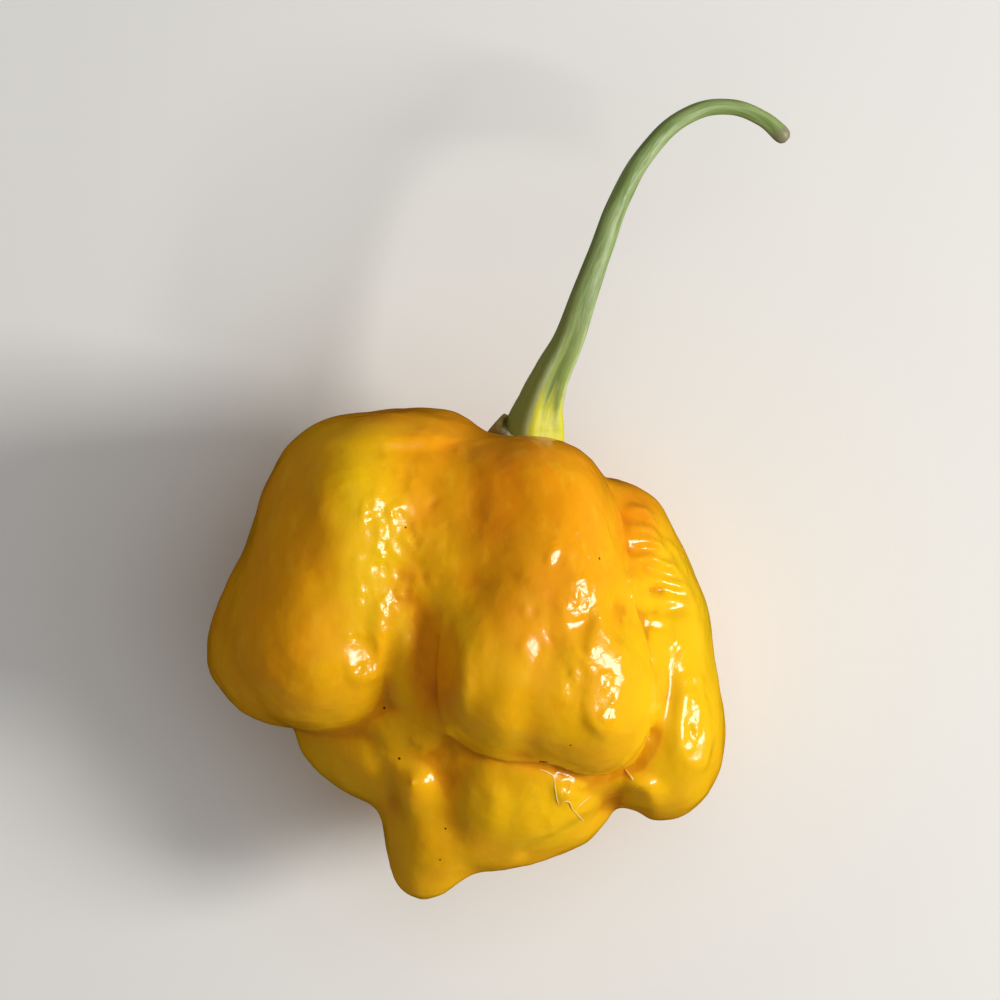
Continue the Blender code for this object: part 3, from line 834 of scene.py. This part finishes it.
calyxLook = {
    "voxel": 0.16,
    "softenPasses": 6,
    "grow": 0.24,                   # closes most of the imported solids' clearance
    "lump": (0.8, 0.14, 2.2),       # cell, height and seed
    "fray": (0.35, 0.06, 9.4),
    "spare": 0.3,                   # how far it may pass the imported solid's box
    "cutFrom": (-0.9, 6.4),         # its torn side, seen from above
    "cutTo": (0.27, 7.8),
    "cutShare": 0.85,
    "rimPlace": (3.1, 1.2),         # in the stalk's foot
    "rimReach": (2.7, 3.5),
}


def makeCalyx():
    print("calyx")
    calyx = copyOfNode("calyx", "calyxSkin")
    applyModifier(calyx, "REMESH", mode="VOXEL", voxel_size=calyxLook["voxel"] * mm)
    applyModifier(calyx, "SMOOTH", factor=0.5, iterations=calyxLook["softenPasses"])
    points = readPoints(calyx)
    normals = readNormals(calyx)
    rise = np.full(len(points), calyxLook["grow"])
    for key in ("lump", "fray"):
        cell, height, seed = calyxLook[key]
        rise += lumps(points, cell, seed) * height
    points += normals * rise[:, None] * mm
    spare = calyxLook["spare"] * mm
    low, high = (np.array(corner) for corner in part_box("calyx"))
    points = np.clip(points, low - spare, high + spare)
    start = np.array(calyxLook["cutFrom"]) * mm
    run = np.array(calyxLook["cutTo"]) * mm - start
    outward = np.array((-run[1], run[0])) / np.linalg.norm(run)
    beyond = np.maximum((points[:, :2] - start) @ outward, 0.0) * calyxLook["cutShare"]
    points[:, :2] -= beyond[:, None] * outward
    writePoints(calyx, points)
    away = np.linalg.norm(points - stalkFoot(calyxLook["rimPlace"]), axis=1) / mm
    writeShade(calyx, "rim", 1.0 - easeBetween(away, *calyxLook["rimReach"]))
    calyx.data.shade_smooth()
    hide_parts("calyx")
    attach(calyx, "root")
    return calyx


calyxPaint = {
    "brown": (0.24, 0.16, 0.03),
    "olive": (0.42, 0.34, 0.09),
    "cream": (0.66, 0.58, 0.34),
    "grainScale": 2600.0,
    "mottleScale": 700.0,
    "mottleRange": (0.35, 0.62),
    "grainRange": (0.3, 0.7),
    "frayGrain": 0.3,
    "frayRange": (0.5, 0.9),
    "creamShare": 0.8,
    "gloss": (0.55, 0.8),
    "reliefDepth": 0.06,
}


def paintCalyx(calyx):
    print("calyx material")
    material, tree, shader = newMaterial("calyxFinish")
    coords = addNode(tree, "ShaderNodeTexCoord").outputs["Object"]
    height, mottle = grainIn(
        tree, coords, calyxPaint["grainScale"], calyxPaint["mottleScale"], 0.6)
    colour = blended(tree, mapped(tree, mottle, *calyxPaint["mottleRange"]),
                     calyxPaint["brown"], calyxPaint["olive"])
    most = calyxPaint["frayGrain"]
    frayed = mapped(tree, height, *calyxPaint["grainRange"], -most, most)
    frayed = sums(tree, "ADD", shadeOf(tree, "rim"), frayed)
    frayed = mapped(tree, frayed, *calyxPaint["frayRange"], 0.0, calyxPaint["creamShare"])
    colour = blended(tree, frayed, colour, calyxPaint["cream"])
    tree.links.new(colour, shader.inputs["Base Color"])
    gloss = mapped(tree, mottle, *calyxPaint["grainRange"], *calyxPaint["gloss"])
    tree.links.new(gloss, shader.inputs["Roughness"])
    relief = addNode(tree, "ShaderNodeBump", {
        "Strength": 1.0, "Distance": calyxPaint["reliefDepth"] * mm, "Height": height,
    })
    tree.links.new(relief.outputs["Normal"], shader.inputs["Normal"])
    calyx.data.materials.append(material)


# Dry threads of old skin on the lower body, half sunk in it

threadLook = {
    "lines": (                      # places seen from above, and the thickness
        (((3.5, -23.9), (4.2, -24.2), (4.7, -24.6), (4.9, -25.7), (5.1, -26.8), (5.25, -27.3)), 0.13),
        (((5.25, -27.3), (5.9, -26.9), (6.5, -27.7), (7.0, -28.3), (7.5, -28.9)), 0.15),
        (((6.6, -27.9), (7.3, -27.2), (8.1, -26.6)), 0.13),
        (((11.2, -24.1), (11.8, -24.9), (12.3, -25.7)), 0.22),
    ),
    "sides": 2,
    "sunk": 0.45,                   # share of the thickness below the skin
    "cream": (0.92, 0.68, 0.28),
    "straw": (0.86, 0.52, 0.07),
    "tipShare": 0.45,               # of the thickness, at both ends
    "grainScale": 3000.0,
    "mottleScale": 1500.0,
    "mottleRange": (0.35, 0.65),
    "grainRange": (0.3, 0.7),
    "gloss": (0.35, 0.6),
    "glowShare": 0.3,
    "glowReach": 0.5,
}


def makeThread(pod, number, line, thickness):
    deselectAll()
    bpy.ops.curve.primitive_bezier_curve_add(radius=mm, location=(0, 0, 0))
    thread = bpy.context.object
    thread.name = f"dryThread{number}"
    curve = thread.data
    curve.bevel_depth = thickness / 2 * mm
    curve.bevel_resolution = threadLook["sides"]
    curve.use_fill_caps = True
    spline = curve.splines[0]
    spline.bezier_points.add(len(line) - 2)
    last = len(line) - 1
    for index, (knot, (x, y)) in enumerate(zip(spline.bezier_points, line)):
        place = placeAbove(pod, x, y)
        place.z += (0.5 - threadLook["sunk"]) * thickness * mm
        knot.co = place
        knot.handle_left_type = knot.handle_right_type = "AUTO"
        knot.radius = threadLook["tipShare"] if index in (0, last) else 1.0
    pick(thread)
    bpy.ops.object.convert(target="MESH")
    pick(thread)
    bpy.ops.object.mode_set(mode="EDIT")
    bpy.ops.mesh.select_all(action="SELECT")
    bpy.ops.mesh.remove_doubles(threshold=0.002 * mm)
    bpy.ops.mesh.normals_make_consistent(inside=False)
    bpy.ops.object.mode_set(mode="OBJECT")
    thread.data.shade_smooth()
    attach(thread, "root")
    return thread


def makeThreads(pod):
    print("dry threads")
    material, tree, shader = newMaterial("dryThreadFinish")
    coords = addNode(tree, "ShaderNodeTexCoord").outputs["Object"]
    height, mottle = grainIn(
        tree, coords, threadLook["grainScale"], threadLook["mottleScale"], 0.6)
    colour = blended(tree, mapped(tree, mottle, *threadLook["mottleRange"]),
                     threadLook["cream"], threadLook["straw"])
    tree.links.new(colour, shader.inputs["Base Color"])
    gloss = mapped(tree, height, *threadLook["grainRange"], *threadLook["gloss"])
    tree.links.new(gloss, shader.inputs["Roughness"])
    shader.inputs["Subsurface Weight"].default_value = threadLook["glowShare"]
    shader.inputs["Subsurface Scale"].default_value = threadLook["glowReach"] * mm
    for number, (line, thickness) in enumerate(threadLook["lines"], start=1):
        thread = makeThread(pod, number, line, thickness)
        thread.data.materials.append(material)


pod = makePodSkin()
paintPod(pod)
stalk = makeStalk()
paintStalk(stalk)
calyx = makeCalyx()
paintCalyx(calyx)
makeThreads(pod)


# Studio: pale floor, soft key from the right, soft fill from above, and the camera

studioLook = {
    "floor": (0.86, 0.86, 0.85),
    "cameraHeight": 0.42,
    "lens": 160.0,
    "keyTurn": -3.0,                # degrees from +X towards +Y
    "keyRise": 33.0,
    "keyDistance": 0.55,
    "keySize": 0.17,
    "keyPower": 2.5,
    "fillPlace": (0.18, 0.02, 0.50),
    "fillSize": 0.6,
    "fillPower": 1.05,
    "surround": 0.17,
    "aimHeight": 0.018,
    "floorWidth": 3.0,
    "floorGrain": (400.0, 12.0),
    "floorRange": (0.3, 0.7),
    "floorRoughness": 0.8,
    "floorShade": 0.985,            # of the floor's colour, in its darker clouds
    "keyColour": (1.0, 0.97, 0.92),
    "fillColour": (1.0, 0.98, 0.95),
    "sensor": 36.0,
    "nearest": 0.01,
}


def aimAt(thing, place, target):
    thing.location = place
    thing.rotation_mode = "QUATERNION"
    thing.rotation_quaternion = (target - place).to_track_quat("-Z", "Y")


def addSoftbox(name, place, target, size, power, colour):
    lamp = bpy.data.lights.new(name, "AREA")
    lamp.shape = "SQUARE"
    lamp.size = size
    lamp.energy = power
    lamp.color = colour
    box = bpy.data.objects.new(name, lamp)
    bpy.context.scene.collection.objects.link(box)
    aimAt(box, place, target)
    return box


def makeStudio():
    print("studio")
    deselectAll()
    bpy.ops.mesh.primitive_plane_add(size=studioLook["floorWidth"], location=(0, 0, 0))
    floor = bpy.context.object
    floor.name = "floor"
    material, tree, shader = newMaterial("paleFloor")
    coords = addNode(tree, "ShaderNodeTexCoord").outputs["Object"]
    _, mottle = grainIn(tree, coords, *studioLook["floorGrain"], 0.5)
    pale = studioLook["floor"]
    cloudy = [part * studioLook["floorShade"] for part in pale]
    tone = blended(tree, mapped(tree, mottle, *studioLook["floorRange"]), pale, cloudy)
    tree.links.new(tone, shader.inputs["Base Color"])
    shader.inputs["Roughness"].default_value = studioLook["floorRoughness"]
    floor.data.materials.append(material)
    floor.visible_glossy = False
    middle = Vector((0.0, 0.0, studioLook["aimHeight"]))
    turn = math.radians(studioLook["keyTurn"])
    rise = math.radians(studioLook["keyRise"])
    level = math.cos(rise)
    towards = Vector((math.cos(turn) * level, math.sin(turn) * level, math.sin(rise)))
    addSoftbox("key", middle + towards * studioLook["keyDistance"], middle,
               studioLook["keySize"], studioLook["keyPower"], studioLook["keyColour"])
    fill = addSoftbox("fill", Vector(studioLook["fillPlace"]), middle,
                      studioLook["fillSize"], studioLook["fillPower"], studioLook["fillColour"])
    fill.visible_glossy = False
    world = bpy.data.worlds.new("surround")
    bpy.context.scene.world = world
    world.use_nodes = True
    backdrop = world.node_tree.nodes["Background"]
    backdrop.inputs["Color"].default_value = (1.0, 1.0, 1.0, 1.0)
    backdrop.inputs["Strength"].default_value = studioLook["surround"]
    world.cycles_visibility.glossy = False
    bpy.context.scene.view_settings.view_transform = "Standard"
    lens = bpy.data.cameras.new("camera")
    lens.sensor_width = studioLook["sensor"]
    lens.lens = studioLook["lens"]
    lens.clip_start = studioLook["nearest"]
    camera = bpy.data.objects.new("camera", lens)
    bpy.context.scene.collection.objects.link(camera)
    camera.location = (0.0, 0.0, studioLook["cameraHeight"])
    bpy.context.scene.camera = camera


makeStudio()
